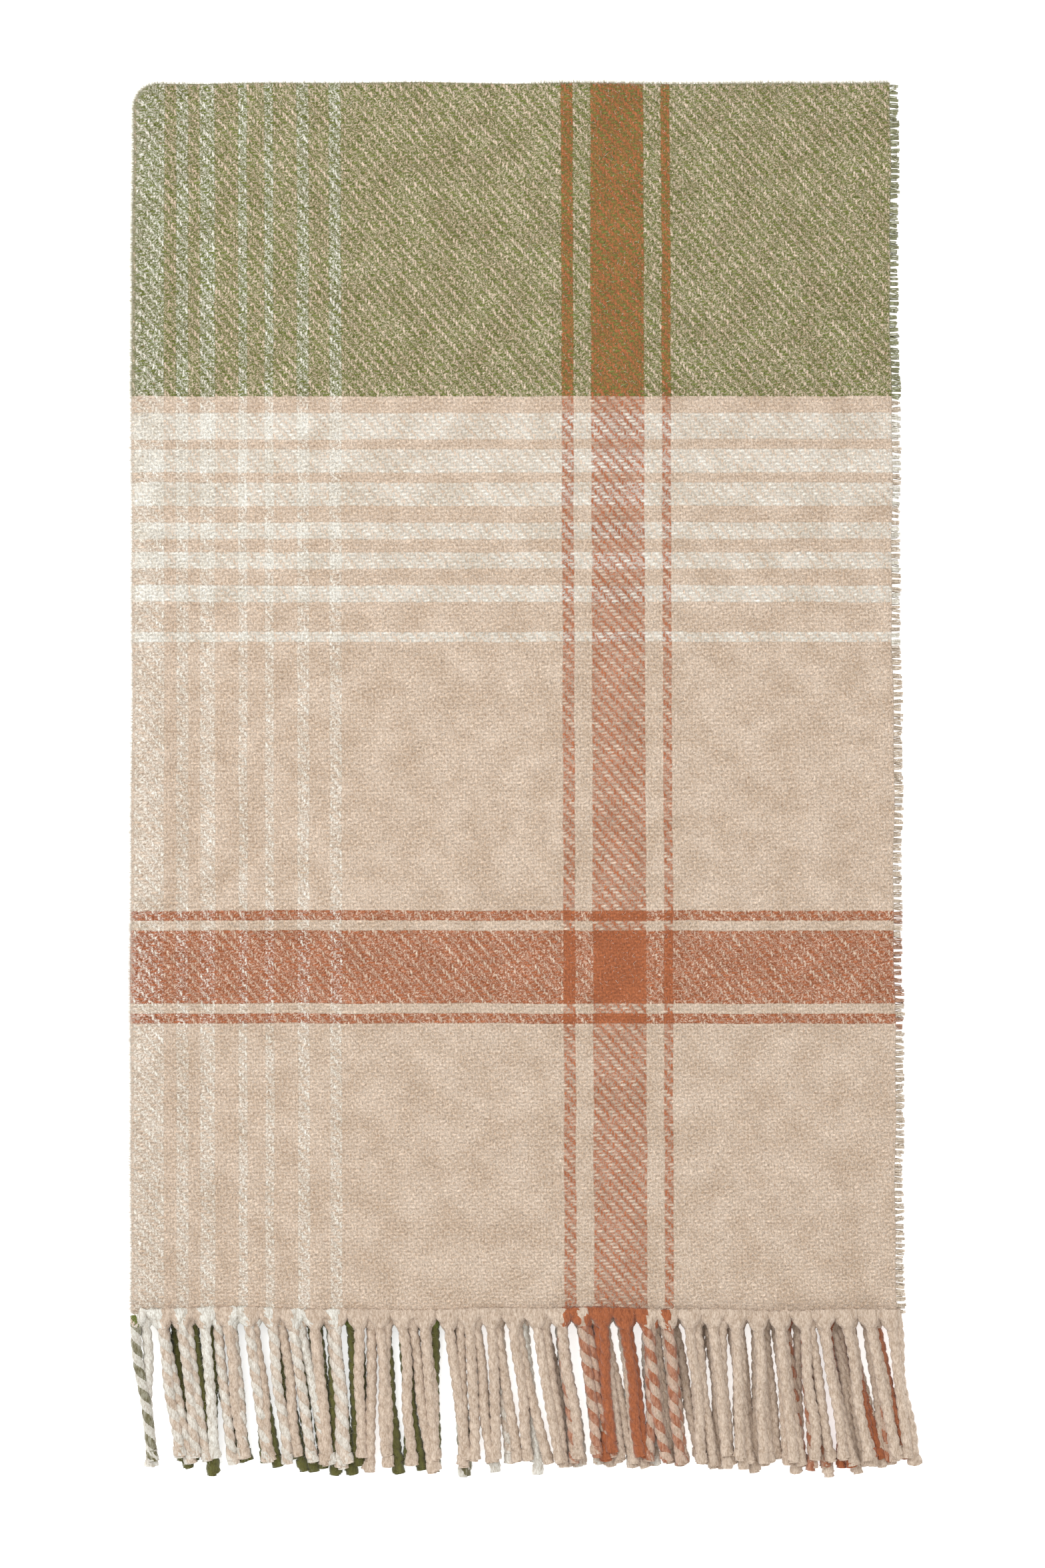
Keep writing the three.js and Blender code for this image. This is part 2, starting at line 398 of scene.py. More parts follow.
def settle(points):
    """Moves points of the neat folded stack to where the soft cloth comes to rest."""
    x, y, z = (np.array(column, float) for column in np.asarray(points).reshape(-1, 3).T)
    from_left, from_hem = x - left, y - hem
    upper = smooth(z, flap_middle, front_under.z)
    height = np.clip(z / stack_height, 0.0, 1.2)
    over_flap = smooth(from_left, flap_under.x - left - 0.040, flap_under.x - left - 0.001)
    sag = sag_depth * smooth(from_left, 0.010, 0.055) * (1 - over_flap)
    swell = 0.35 * np.sin(from_left * 21 + from_hem * 5 + 1.0) + 0.30 * np.sin(from_hem * 17 - from_left * 9)
    swell = swell + 0.20 * np.sin(from_hem * 43 + from_left * 31 + 2.0)
    z = z - sag * upper + 0.0009 * (swell - 0.5) * height
    x = x - upper * from_left / folded_width * taper_at_top * from_hem / folded_length
    at_right = smooth(from_left, folded_width - 0.06, folded_width)
    ripple = np.sin(from_hem * 29 + z * 160) + 0.6 * np.sin(from_hem * 83 + 1.3 + z * 90)
    x = x + at_right * 0.0006 * ripple
    at_left = 1 - smooth(from_left, 0.0, 0.04)
    x = x + at_left * 0.0005 * (np.sin(from_hem * 16 + 0.7) + 0.5 * np.sin(from_hem * 47))
    x = x - at_left * foot_spread * (1 - from_hem / folded_length)
    at_hem = 1 - smooth(from_hem, 0.0, 0.05)
    y = y + at_hem * 0.0010 * (np.sin(from_left * 23 + 0.4) + 0.5 * np.sin(from_left * 71 + z * 200))
    at_top = smooth(from_hem, folded_length - 0.05, folded_length)
    y = y - at_top * 0.0007 * (1 + np.sin(from_left * 14 + 2.1) + 0.4 * np.sin(from_left * 52))
    to_left = np.clip(1 - (x - left) / corner_radius, 0.0, 1.0)
    to_top = np.clip(1 - (cloth_top - y) / corner_radius, 0.0, 1.0)
    x = x + to_left * corner_radius * (1 - np.sqrt(1 - to_top**2 / 2))
    y = y - to_top * corner_radius * (1 - np.sqrt(1 - to_left**2 / 2))
    return np.stack([x, y, z], axis=1)


# ---------------------------------------------------------------- the cloth, folded
# The web is folded hem to hem, which gives the tight top fold, and then in three from side to
# side, which gives the thick roll at the left and the flap turned in at the right.
cell = 0.0062
hem_taper = 2.2


def rounded_steps(start, end, soft_start, soft_end, size):
    """Stations from start to end, closer together at an end that is a cut edge."""
    close = half_thick * np.array([0.0, 0.06, 0.25, 0.6, 1.0, 1.8, 2.6])
    direction = math.copysign(1.0, end - start)
    first = start + direction * close if soft_start else np.array([start])
    last = end - direction * close[::-1] if soft_end else np.array([end])
    count = max(2, round(abs(last[0] - first[-1]) / size))
    return np.concatenate([first, np.linspace(first[-1], last[0], count + 1)[1:-1], last])


def edge_roundness(place, cut, reach=1.0):
    """How much of the cloth's thickness is left this near to a cut edge."""
    gap = np.clip(np.abs(place - cut) / (half_thick * reach), 0.0, 1.0)
    return np.sqrt(np.clip(1 - (1 - gap) ** 2, 0.02, 1.0))


def fold_cloth(name, path, across_steps, selvedge):
    """A doubled strip of cloth along a path across the fold, as one closed sheet with its thread map."""
    straight = straight_top - hem
    whole = 2 * (straight + pair_half)
    outer = rounded_steps(0.0, straight, True, False, cell)
    turn_steps = np.linspace(straight, straight + 2 * pair_half, 11)[1:-1]
    inner = rounded_steps(whole, straight + 2 * pair_half, True, False, cell)[::-1]
    along_steps = np.concatenate([outer, turn_steps, inner])
    turn = np.clip((along_steps - straight) / (2 * pair_half), 0.0, 1.0) * math.pi
    reach = np.minimum(along_steps, straight) - np.maximum(along_steps - straight - 2 * pair_half, 0.0)
    centre_x, centre_z, normal_x, normal_z = path(across_steps)
    thin_along = edge_roundness(along_steps, 0.0, hem_taper) * edge_roundness(along_steps, whole, hem_taper)
    thin_across = np.ones_like(across_steps)
    if selvedge is not None:
        thin_across = edge_roundness(across_steps, selvedge)
    thickness = half_thick * thin_across[:, None] * thin_along[None, :]
    sides = []
    for side in (1.0, -1.0):
        arm = ply_offset + side * thickness
        off = arm * np.cos(turn)[None, :]
        y = hem + reach[None, :] + arm * np.sin(turn)[None, :]
        x = centre_x[:, None] + normal_x[:, None] * off
        z = centre_z[:, None] + normal_z[:, None] * off
        sides.append(np.stack([x, y, z], axis=2).reshape(-1, 3))
    points = settle(np.concatenate(sides))
    rows, columns = len(across_steps), len(along_steps)
    number = np.arange(rows * columns).reshape(rows, columns)
    grid = np.stack([number[:-1, :-1], number[1:, :-1], number[1:, 1:], number[:-1, 1:]], axis=2)
    grid = grid.reshape(-1, 4)
    under = rows * columns
    rim = np.concatenate([number[:, 0], number[-1, 1:], number[-2::-1, -1], number[0, -2:0:-1]])
    next_rim = np.roll(rim, -1)
    walls = np.stack([rim, next_rim, next_rim + under, rim + under], axis=1)
    made = mesh_object(name, points, np.concatenate([grid, grid[:, ::-1] + under, walls]))
    mesh = made.data
    threads = np.stack(np.meshgrid(across_steps, along_steps, indexing="ij"), axis=2).reshape(-1, 2)
    corner_vertex = np.empty(len(mesh.loops), int)
    mesh.loops.foreach_get("vertex_index", corner_vertex)
    mesh.uv_layers.new(name="threads").data.foreach_set("uv", threads[corner_vertex % under].ravel())
    finish_mesh(mesh)
    made.data.materials.append(cloth_finish)
    return made


def finish_mesh(mesh):
    """Turns every face outwards and shades it smooth."""
    work = bmesh.new()
    work.from_mesh(mesh)
    bmesh.ops.recalc_face_normals(work, faces=work.faces)
    work.to_mesh(mesh)
    work.free()
    mesh.shade_smooth()


# Front and side roll: the part that shows, with the thick soft roll down its left side.
roll_reach = side_high.x - side_low.x
roll_x = side_high.x
roll_z = (side_low.z + side_high.z) / 2
roll_radius = front_middle - roll_z


def front_path(place):
    turn = np.clip((roll_reach - place) / (2 * roll_reach), 0.0, 1.0) * math.pi
    x = roll_x + np.maximum(place - roll_reach, 0.0) - roll_radius * np.sin(turn)
    return x, roll_z + roll_radius * np.cos(turn), -np.sin(turn), np.cos(turn)


# Past the roll the cloth follows the front, however it sags: the crossing runs up and inwards
# at 45 degrees.
front_gap = front_under.z - 2 * back_middle
cross_z = 2 * back_middle
front_cross = ((roll_x, 0.0, cross_z), (roll_x + front_gap / 2, 0.0, cross_z + front_gap / 2))
front_flat = rounded_steps(folded_width, roll_reach, True, False, cell)
roll_steps = np.linspace(roll_reach, -roll_reach, 19)[1:]
front_cloth = fold_cloth("front_cloth", front_path, np.concatenate([front_flat, roll_steps]), folded_width)

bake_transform(front_cloth, "back", "front", *front_cross)
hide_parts("front_panel_outer", "front_panel_inner", "front_top_fold",
            "side_fold_outer", "side_fold_inner", "side_fold_corner")

# Back: the middle part, which lies on the table.
tuck_reach = tuck_high.x - tuck_low.x
tuck_x = tuck_low.x
tuck_z = (tuck_low.z + tuck_high.z) / 2
tuck_radius = flap_middle - tuck_z
back_end = -(roll_reach + tuck_x - roll_x)


def back_path(place):
    x = roll_x - roll_reach - place
    return x, np.full_like(place, back_middle), np.zeros_like(place), np.full_like(place, -1.0)


back_steps = rounded_steps(-roll_reach, back_end, False, False, cell * 1.3)
back_cloth = fold_cloth("back_cloth", back_path, back_steps, None)

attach(back_cloth, "back")
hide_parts("back_panel_outer", "back_panel_inner", "back_top_fold")

# Flap and tuck roll: the last part, turned in at the right between the back and the front.
flap_width = tuck_x - flap_under.x
flap_end = back_end - 2 * tuck_reach - flap_width


def flap_path(place):
    travel = back_end - place
    turn = np.clip(travel / (2 * tuck_reach), 0.0, 1.0) * math.pi
    x = tuck_x + tuck_radius * np.sin(turn) - np.maximum(travel - 2 * tuck_reach, 0.0)
    return x, tuck_z - tuck_radius * np.cos(turn), np.sin(turn), -np.cos(turn)


flap_gap = 0.004
flap_cross = ((tuck_x, 0.0, cross_z), (tuck_x - flap_gap / 2, 0.0, cross_z + flap_gap / 2))
tuck_steps = np.linspace(back_end, back_end - 2 * tuck_reach, 15)
flap_steps = rounded_steps(back_end - 2 * tuck_reach, flap_end, False, True, cell * 1.3)[1:]
flap_cloth = fold_cloth("flap_cloth", flap_path, np.concatenate([tuck_steps, flap_steps]), flap_end)

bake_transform(flap_cloth, "back", "flap", *flap_cross)
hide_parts("flap_panel_outer", "flap_panel_inner", "flap_top_fold",
            "tuck_fold_outer", "tuck_fold_inner", "tuck_fold_corner")

# ---------------------------------------------------------------- the twisted tassels
# Beyond each hem the warp is left unwoven. Every eight ends or so are gathered, twisted into two
# plies, and the plies are laid together the other way, so that the tassel holds its twist.
yarn_finish, yarn_shader, flow = new_material("twisted_yarn")
yarn_colour = flow.node("ShaderNodeAttribute", {"attribute_name": "yarn_colour"})
on_yarn = flow.node("ShaderNodeTexCoord", out="Object")
down_yarn = on_yarn.times((1.0, 0.30, 1.0))
yarn_mean = flow.node("ShaderNodeAttribute", {"attribute_name": "mean_colour"})
yarn_fleece = flow.noise(down_yarn, 1300.0, 3.0)
yarn_blend = flow.noise(down_yarn, 420.0, 3.0)
strayed = yarn_blend.ramp_up(0.35, 0.65) * 0.50 + 0.06
yarn_mixed = strayed.mixed(yarn_colour, yarn_mean)
dark_wool = yarn_mixed.times((0.60, 0.55, 0.50))
pale_wool = yarn_mixed.times((1.22, 1.28, 1.34))
paleness = yarn_fleece.ramp_up(0.30, 0.70) * 0.6 + yarn_blend.ramp_up(0.30, 0.70) * 0.4
yarn_spun = paleness.mixed(dark_wool, pale_wool)
flow.tree.links.new(yarn_spun.socket, yarn_shader.inputs["Base Color"])
yarn_bump = flow.node("ShaderNodeBump", {}, {"Strength": 0.5, "Distance": 0.0006, "Height": yarn_fleece})
flow.tree.links.new(yarn_bump.socket, yarn_shader.inputs["Normal"])
yarn_shader.inputs["Roughness"].default_value = 0.95
yarn_shader.inputs["Specular IOR Level"].default_value = 0.15
yarn_shader.inputs["Sheen Weight"].default_value = 0.25
yarn_shader.inputs["Sheen Roughness"].default_value = 0.6


def new_tool(name, inputs):
    """A Geometry Nodes tree with named inputs, as its tree, its input node and a starting Flow."""
    tree = bpy.data.node_groups.new(name, "GeometryNodeTree")
    tree.interface.new_socket(name="Geometry", in_out="INPUT", socket_type="NodeSocketGeometry")
    for label, kind in inputs.items():
        tree.interface.new_socket(name=label, in_out="INPUT", socket_type=kind)
    tree.interface.new_socket(name="Geometry", in_out="OUTPUT", socket_type="NodeSocketGeometry")
    entry = tree.nodes.new("NodeGroupInput")
    return tree, {socket.name: Flow(tree, socket) for socket in entry.outputs if socket.name}


def close_tool(result, material):
    """Ends a tree in Realize Instances and Set Material."""
    solid = result.node("GeometryNodeRealizeInstances", {}, {0: result})
    painted = result.node("GeometryNodeSetMaterial", {}, {"Geometry": solid, "Material": material})
    exit_node = result.tree.nodes.new("NodeGroupOutput")
    result.tree.links.new(painted.socket, exit_node.inputs[0])


def grow(tool, source, name, sizes):
    """Runs a tool on a source object and gives the result as a plain mesh object."""
    helper = bpy.data.objects.new("helper", source.data)
    scene.collection.objects.link(helper)
    modifier = helper.modifiers.new("grow", "NODES")
    modifier.node_group = tool
    for item in tool.interface.items_tree:
        if item.name in sizes:
            modifier[item.identifier] = sizes[item.name]
    view = bpy.context.evaluated_depsgraph_get()
    mesh = bpy.data.meshes.new_from_object(
        helper.evaluated_get(view), preserve_all_data_layers=True, depsgraph=view)
    mesh.name = name
    bpy.data.objects.remove(helper)
    made = bpy.data.objects.new(name, mesh)
    scene.collection.objects.link(made)
    finish_mesh(mesh)
    return made


NUMBER, WHOLE, FINISH = "NodeSocketFloat", "NodeSocketInt", "NodeSocketMaterial"
rope_tool, rope = new_tool("two_ply_rope", {"Ply radius": NUMBER, "Twist pitch": NUMBER, "Sides": WHOLE,
                                            "Finish": FINISH})
flow = Flow(rope_tool)


def named(flow, name, kind="FLOAT"):
    """A named attribute of the source."""
    return flow.node("GeometryNodeInputNamedAttribute", {"data_type": kind}, {"Name": name})


spine = flow.node("GeometryNodeMeshToCurve", {}, {"Mesh": rope["Geometry"]})
run = flow.node("GeometryNodeSplineParameter", out="Length")
twist = run / rope["Twist pitch"] * (2 * math.pi) + named(flow, "first_turn")
spine = flow.node("GeometryNodeSetCurveTilt", {}, {"Curve": spine, "Tilt": twist})
spine = flow.node("GeometryNodeSetCurveRadius", {}, {"Curve": spine, "Radius": named(flow, "thickness")})
plies = []
for ply, side in enumerate((1.0, -1.0)):
    ring = flow.node("GeometryNodeCurvePrimitiveCircle", {},
                     {"Resolution": rope["Sides"], "Radius": rope["Ply radius"]})
    shift = flow.point(rope["Ply radius"] * (0.24 * side), 0.0)
    ring = flow.node("GeometryNodeTransform", {}, {"Geometry": ring, "Translation": shift})
    mark = {"Geometry": ring, "Name": "ply", "Value": float(ply)}
    plies.append(flow.node("GeometryNodeStoreNamedAttribute", {"data_type": "FLOAT"}, mark))
section = flow.tree.nodes.new("GeometryNodeJoinGeometry")
for ring in reversed(plies):
    flow.tree.links.new(ring.socket, section.inputs[0])
body = flow.node("GeometryNodeCurveToMesh", {},
                 {"Curve": spine, "Profile Curve": Flow(flow.tree, section.outputs[0]), "Fill Caps": True})
ply_tint = named(flow, "ply").mixed(named(flow, "first_colour", "FLOAT_COLOR"),
                                    named(flow, "second_colour", "FLOAT_COLOR"))
body = flow.node("GeometryNodeStoreNamedAttribute", {"data_type": "FLOAT_COLOR"},
                 {"Geometry": body, "Name": "yarn_colour", "Value": ply_tint})
mean_tint = flow.node("ShaderNodeMix", {"data_type": "RGBA"}, {
    0: 0.5, 6: named(flow, "first_colour", "FLOAT_COLOR"),
    7: named(flow, "second_colour", "FLOAT_COLOR")}, out=2)
body = flow.node("GeometryNodeStoreNamedAttribute", {"data_type": "FLOAT_COLOR"},
                 {"Geometry": body, "Name": "mean_colour", "Value": mean_tint})
close_tool(body, rope["Finish"])

tassel_pitch = 0.0158
ply_radius = 0.0033
twist_pitch = -0.0170
tassel_step = 0.0016
root_strands = 9
stray_strands = 4
hem_lap = 0.0045
any_turn = 6.28
chance = np.random.default_rng(8)


class Spines:
    """The middle lines of many yarns, gathered to be swept in one go."""

    def __init__(self):
        self.points, self.edges, self.values = [], [], []

    def add(self, line, thickness, first_turn, first_colour, second_colour):
        start = len(self.points)
        self.points.extend(line)
        self.edges.extend((start + k, start + k + 1) for k in range(len(line) - 1))
        self.values.extend((size, first_turn, first_colour, second_colour) for size in thickness)

    def sweep(self, name, radius, pitch, sides):
        source = mesh_object("spines", self.points, [], self.edges)
        columns = list(zip(*self.values))
        for label, kind, column in zip(("thickness", "first_turn"), ("FLOAT", "FLOAT"), columns[:2]):
            source.data.attributes.new(label, kind, "POINT").data.foreach_set("value", column)
        for label, column in zip(("first_colour", "second_colour"), columns[2:]):
            flat = np.concatenate([np.asarray(column), np.ones((len(column), 1))], axis=1)
            source.data.attributes.new(label, "FLOAT_COLOR", "POINT").data.foreach_set("color", flat.ravel())
        made = grow(rope_tool, source, name, {"Ply radius": radius, "Twist pitch": pitch, "Sides": sides,
                                              "Finish": yarn_finish})
        bpy.data.objects.remove(source)
        return made


def blend_of_warp(places):
    """The colour of a ply that gathers the warp at these places, darker and browner if it is moss."""
    colours = np.array([warp_at(place) for place in places])
    colour = 0.8 * colours[len(colours) // 2] + 0.2 * colours.mean(axis=0)
    return colour * (0.86, 0.70, 0.95) if colour[0] < 0.25 else colour


def tassel(spines, root_x, root_y, root_z, warp_place, warp_sign, length, slant, drop, size):
    """One tassel: its loose ends leave the hem side by side, meet, and go on as a two-ply rope."""
    bend = chance.uniform(-0.045, 0.045)
    curl = chance.uniform(-1.0, 1.0) * 0.0012
    gather = chance.uniform(0.008, 0.011)
    travel = np.arange(0.0055, length, tassel_step)
    share = travel / length
    x = root_x + np.sin(slant) * travel + bend * travel * share + curl * np.sin(share * 9 + root_x * 50)
    y = root_y - np.cos(slant) * travel
    z = root_z - drop * smooth(share, 0.0, 0.75) + 0.0004 * np.sin(share * 12 + root_x * 90)
    swell = smooth(travel, 0.003, gather + 0.004) * 0.60 + 0.40
    thin_tip = 1 - 0.10 * smooth(share, 0.75, 1.0) - 0.30 * smooth(travel, length - 0.006, length)
    thickness = size * swell * thin_tip * (1 + 0.05 * np.sin(travel * 420 + root_x * 30))
    colours = [blend_of_warp([warp_place + warp_sign * side * reach for reach in (0.002, 0.004, 0.006)])
               for side in (-1, 1)]
    first_turn = chance.uniform(0, 2 * math.pi)
    line = settle(np.stack([x, y, z], axis=1))
    spines.add(line.tolist(), thickness, first_turn, *colours)
    ending = line[-1] - line[-5]
    for side in chance.normal(0.0, 1.0, stray_strands):
        stray = line[-4] + np.outer(np.linspace(0.0, 1.0, 4), ending * chance.uniform(0.75, 1.30))
        stray[:, 0] += side * 0.0009 * np.linspace(0.4, 1.0, 4)
        thin = np.linspace(0.40, 0.13, 4) * size
        spines.add(stray.tolist(), thin, chance.uniform(0, any_turn), colours[0], colours[1])
    meet = line[round((gather - travel[0]) / tassel_step)]
    for step in np.linspace(-0.47, 0.47, root_strands):
        offset = step * tassel_pitch
        start_x = min(max(root_x + offset, left + 0.0042), front_high.x - 0.0012)
        past_fold = start_x < roll_x or (start_x > tuck_x and root_z < front_under.z)
        start_y = hem - 0.0004 if past_fold else hem + hem_lap
        start = settle([(start_x, start_y, root_z + 0.0002)])[0]
        middle_z = start[2] * 0.5 + meet[2] * 0.5 + 0.0006
        middle = np.array([start[0] * 0.62 + meet[0] * 0.38, hem - 0.0022, middle_z])
        ride_up = np.linspace(0.0, 1.0, 7)[:, None]
        loose = (1 - ride_up) ** 2 * start + 2 * ride_up * (1 - ride_up) * middle + ride_up**2 * meet
        colour = np.array(warp_at(warp_place + warp_sign * offset))
        widening = np.linspace(0.28, 0.34, 7) * size
        spines.add(loose.tolist(), widening, chance.uniform(0, any_turn), colour, colour)


def lean_at(x):
    """How many degrees the fringe leans to the right here. Neighbours lean alike, in bunches."""
    from_left = x - left
    bunches = 2.2 * math.sin(from_left * 26)
    small_bunches = 1.6 * math.sin(from_left * 63 + 1)
    return 6.2 + 2.4 * (from_left / folded_width - 0.5) + bunches + small_bunches


def tassel_row(label, roots, root_z, lean_spread, lengths, size, bands_by_end, sides=8):
    """A row of tassels, as one object for each colour band of the warp.

    roots are (x, place in the warp, which way the warp counts, degrees that it strays from the
    others); lean_spread is in degrees; lengths are (mean, spread, drop at the tip); bands_by_end
    are (place, name)."""
    gathered = {name: Spines() for end, name in bands_by_end}
    for x, place, sign, stray in roots:
        name = next(name for end, name in bands_by_end if x - left <= end)
        slant = math.radians(lean_at(x) + stray + chance.normal(0.0, lean_spread))
        length = lengths[0] + chance.normal(0.0, lengths[1])
        is_moss = max(warp_at(place)) < 0.2
        tassel(gathered[name], x, hem + 0.001, root_z, place, sign, length, slant, lengths[2],
               size * (0.60 if is_moss else 1.0) * chance.uniform(0.92, 1.08))
    made = {}
    for name, spines in gathered.items():
        made[name] = spines.sweep(f"{label}_{name}", ply_radius, twist_pitch, sides)
    return made


front_bands = ((0.146, "cream"), (0.307, "oatmeal"), (0.383, "rust"), (0.600, "oatmeal_edge"))
back_bands = ((0.225, "moss"), (0.371, "cream"), (0.600, "oatmeal"))
rust_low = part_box("flap_fringe_outer_rust")[0]
flap_bands = ((rust_low.x - left + 0.004, "oatmeal"), (0.600, "rust"))
front_right = left + folded_width
flap_left = flap_under.x
flap_origin = flap_end - flap_left + left
comb = np.arange(left + 0.0032, front_right - 0.002, tassel_pitch)
comb = comb + chance.uniform(-0.0010, 0.0010, len(comb))


def spread(start, end, offset, stray, sign, origin):
    """Tassel roots from start to end in x, as (x, warp place, sign, stray): the layers hang together."""
    places = comb + offset + chance.normal(0.0, stray, len(comb))
    places = places[(places > start + 0.002) & (places < end - 0.001)]
    return [(x, origin + sign * (x - left), sign, 0.0) for x in places]


rust_place = -moss_band - 148 * end_pitch
last_rust = [(tuck_x - 0.0045, rust_place, 1, 5.0)]
rows = {
    "front_fringe_outer": (spread(left, front_right, 0.0, 0.0002, 1, 0.0), front_low.z + half_thick,
                           1.0, (0.1035, 0.0016, 0.0030), 0.95, front_bands),
    "front_fringe_inner": (spread(left, front_right, 0.0030, 0.0030, 1, 0.0), front_under.z + half_thick,
                           1.9, (0.1065, 0.0026, 0.0030), 0.80, front_bands),
    "flap_fringe_outer": (spread(flap_left, tuck_x - 0.008, 0.0005, 0.0022, 1, flap_origin) + last_rust,
                          flap_high.z - half_thick,
                          1.6, (0.1050, 0.0030, 0.0010), 0.72, flap_bands, 6),
    "flap_fringe_inner": (spread(flap_left, tuck_x, 0.0010, 0.0022, 1, flap_origin),
                          flap_under.z + half_thick,
                          1.6, (0.1060, 0.0030, 0.0010), 0.72, flap_bands, 6),
    "back_fringe_outer": (spread(roll_x, tuck_x, 0.0005, 0.0028, -1, 0.0), 0.0042,
                          2.2, (0.1080, 0.0030, 0.0), 0.74, back_bands, 6),
    "back_fringe_inner": (spread(roll_x, tuck_x, 0.0020, 0.0028, -1, 0.0), 0.0060,
                          2.2, (0.1100, 0.0030, 0.0010), 0.74, back_bands, 6),
}
fringe_bend = ((0.0, hem + 0.002, 0.0), (0.0, hem - 0.010, 0.0))
fringe_pieces = {"front": [], "back": [], "flap": []}
for row, facts in rows.items():
    part = row.split("_")[0]
    for band, piece in tassel_row(row.replace("fringe", "tassels"), *facts).items():
        fringe_pieces[part].append(piece)
        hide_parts(f"{row}_{band}")
        if part == "front":
            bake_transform(piece, "front", "front_fringe", *fringe_bend)
        else:
            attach(piece, part)

# ---------------------------------------------------------------- the cut weft tufts
# At each selvedge the weft is cut off a little way out, pick by pick, and the brushing gathers
# the ends into small tufts of the weft's colour.
tuft_tool, tuft = new_tool("weft_tuft", {"Length": NUMBER, "Finish": FINISH})
flow = Flow(tuft_tool)
strands = flow.tree.nodes.new("GeometryNodeJoinGeometry")
for bow, spread_out in ((0.10, 0.05), (-0.12, -0.06)):
    strand = flow.node("GeometryNodeCurveQuadraticBezier", {}, {
        "Resolution": 3, "Start": (0.0, spread_out, 0.0), "Middle": (0.5, bow, 0.03),
        "End": (1.0, bow * 0.6, -0.08)})
    slim = 1.0 - flow.node("GeometryNodeSplineParameter", out="Factor") * 0.55
    strand = flow.node("GeometryNodeSetCurveRadius", {}, {"Curve": strand, "Radius": slim})
    ring = flow.node("GeometryNodeCurvePrimitiveCircle", {}, {"Resolution": 5, "Radius": 0.066})
    strand = flow.node("GeometryNodeCurveToMesh", {},
                       {"Curve": strand, "Profile Curve": ring, "Fill Caps": True})
    flow.tree.links.new(strand.socket, strands.inputs[0])
turned = flow.node("FunctionNodeEulerToRotation", {}, {0: named(flow, "turn", "FLOAT_VECTOR")})
sizes = named(flow, "reach", "FLOAT") * tuft["Length"]
placed = flow.node("GeometryNodeInstanceOnPoints", {}, {
    "Points": tuft["Geometry"], "Instance": Flow(flow.tree, strands.outputs[0]),
    "Rotation": turned, "Scale": sizes})
close_tool(placed, tuft["Finish"])


tuft_length = 0.0072
tuft_droop = 0.06


def weft_tufts(name, path, cut, sign, offset_side):
    """The tufts along one cut selvedge of one layer: one for each pick, in ones and twos."""
    picks = round(folded_length / pick_pitch) - 1
    number = np.arange(picks)
    pair_pull = 0.0007 * np.where(number % 2 == 0, 1.0, -1.0) * (chance.random(picks) > 0.35)
    along = (number + 0.5) * pick_pitch + pair_pull
    centre_x, centre_z, _, normal_z = path(np.array([cut]))
    root = np.stack([np.full(picks, centre_x[0] - sign * 0.0008), hem + along,
                     np.full(picks, centre_z[0] + normal_z[0] * offset_side)], axis=1)
    source = mesh_object("tuft_roots", settle(root), [])
    colour = np.array([yarn_at(weft_plan, pick_pitch, place) for place in (number + 0.5) * pick_pitch])
    pale_end = np.array([0.72, 0.66, 0.50])
    colour = (0.74 * colour + 0.26 * pale_end) * chance.uniform(0.84, 1.08, (picks, 1))
    tint = np.concatenate([colour, np.ones((picks, 1))], axis=1)
    lean = np.stack([np.zeros(picks), chance.normal(tuft_droop, 0.10, picks),
                     chance.normal(-0.03, 0.13, picks) + (0.0 if sign > 0 else math.pi)], axis=1)
    data = source.data.attributes
    data.new("yarn_colour", "FLOAT_COLOR", "POINT").data.foreach_set("color", tint.ravel())
    data.new("mean_colour", "FLOAT_COLOR", "POINT").data.foreach_set("color", tint.ravel())
    data.new("turn", "FLOAT_VECTOR", "POINT").data.foreach_set("vector", lean.ravel())
    data.new("reach", "FLOAT", "POINT").data.foreach_set("value", chance.uniform(0.72, 1.05, picks))
    made = grow(tuft_tool, source, name, {"Length": tuft_length, "Finish": yarn_finish})
    bpy.data.objects.remove(source)
    return made


tuft_facts = (("front", front_path, folded_width, 1.0), ("flap", flap_path, flap_end, -1.0))
for part, path, cut, sign in tuft_facts:
    for layer, side in (("outer", 1.0), ("inner", -1.0)):
        piece = weft_tufts(f"{part}_tufts_in_{layer}", path, cut, sign, side * ply_offset)
        fringe_pieces[part].append(piece)
        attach(piece, part)
        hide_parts(f"{part}_tufts_{layer}")

# ---------------------------------------------------------------- the brushed nap
# Teasels lift a haze of single fibres from the face of the cloth, from its folds and from the
# tassels. It softens every edge. The haze on the roll and the top fold is given paler colours than its
# yarns: painted light.
nap_tool, tease = new_tool("teased_nap", {"Density": NUMBER, "Length": NUMBER, "Least lean": NUMBER,
                                          "Most lean": NUMBER, "Seed": WHOLE, "Finish": FINISH})
flow = Flow(nap_tool)
scatter = flow.tree.nodes.new("GeometryNodeDistributePointsOnFaces")
density = tease["Density"] * named(flow, "teased")
for socket, value in (("Mesh", tease["Geometry"]), ("Density", density), ("Seed", tease["Seed"])):
    flow.tree.links.new(value.socket, scatter.inputs[socket])
fibre = flow.node("GeometryNodeMeshCone", {}, {
    "Vertices": 3, "Side Segments": 2, "Radius Top": 0.0, "Radius Bottom": 0.028, "Depth": 0.92})
up_fibre = flow.node("ShaderNodeSeparateXYZ", {}, {0: flow.node("GeometryNodeInputPosition")}, out="Z")
bow = flow.point(up_fibre * 0.12, up_fibre * up_fibre * 0.42)
fibre = flow.node("GeometryNodeSetPosition", {}, {"Geometry": fibre, "Offset": bow})
lean_seed = tease["Seed"] + 1.0


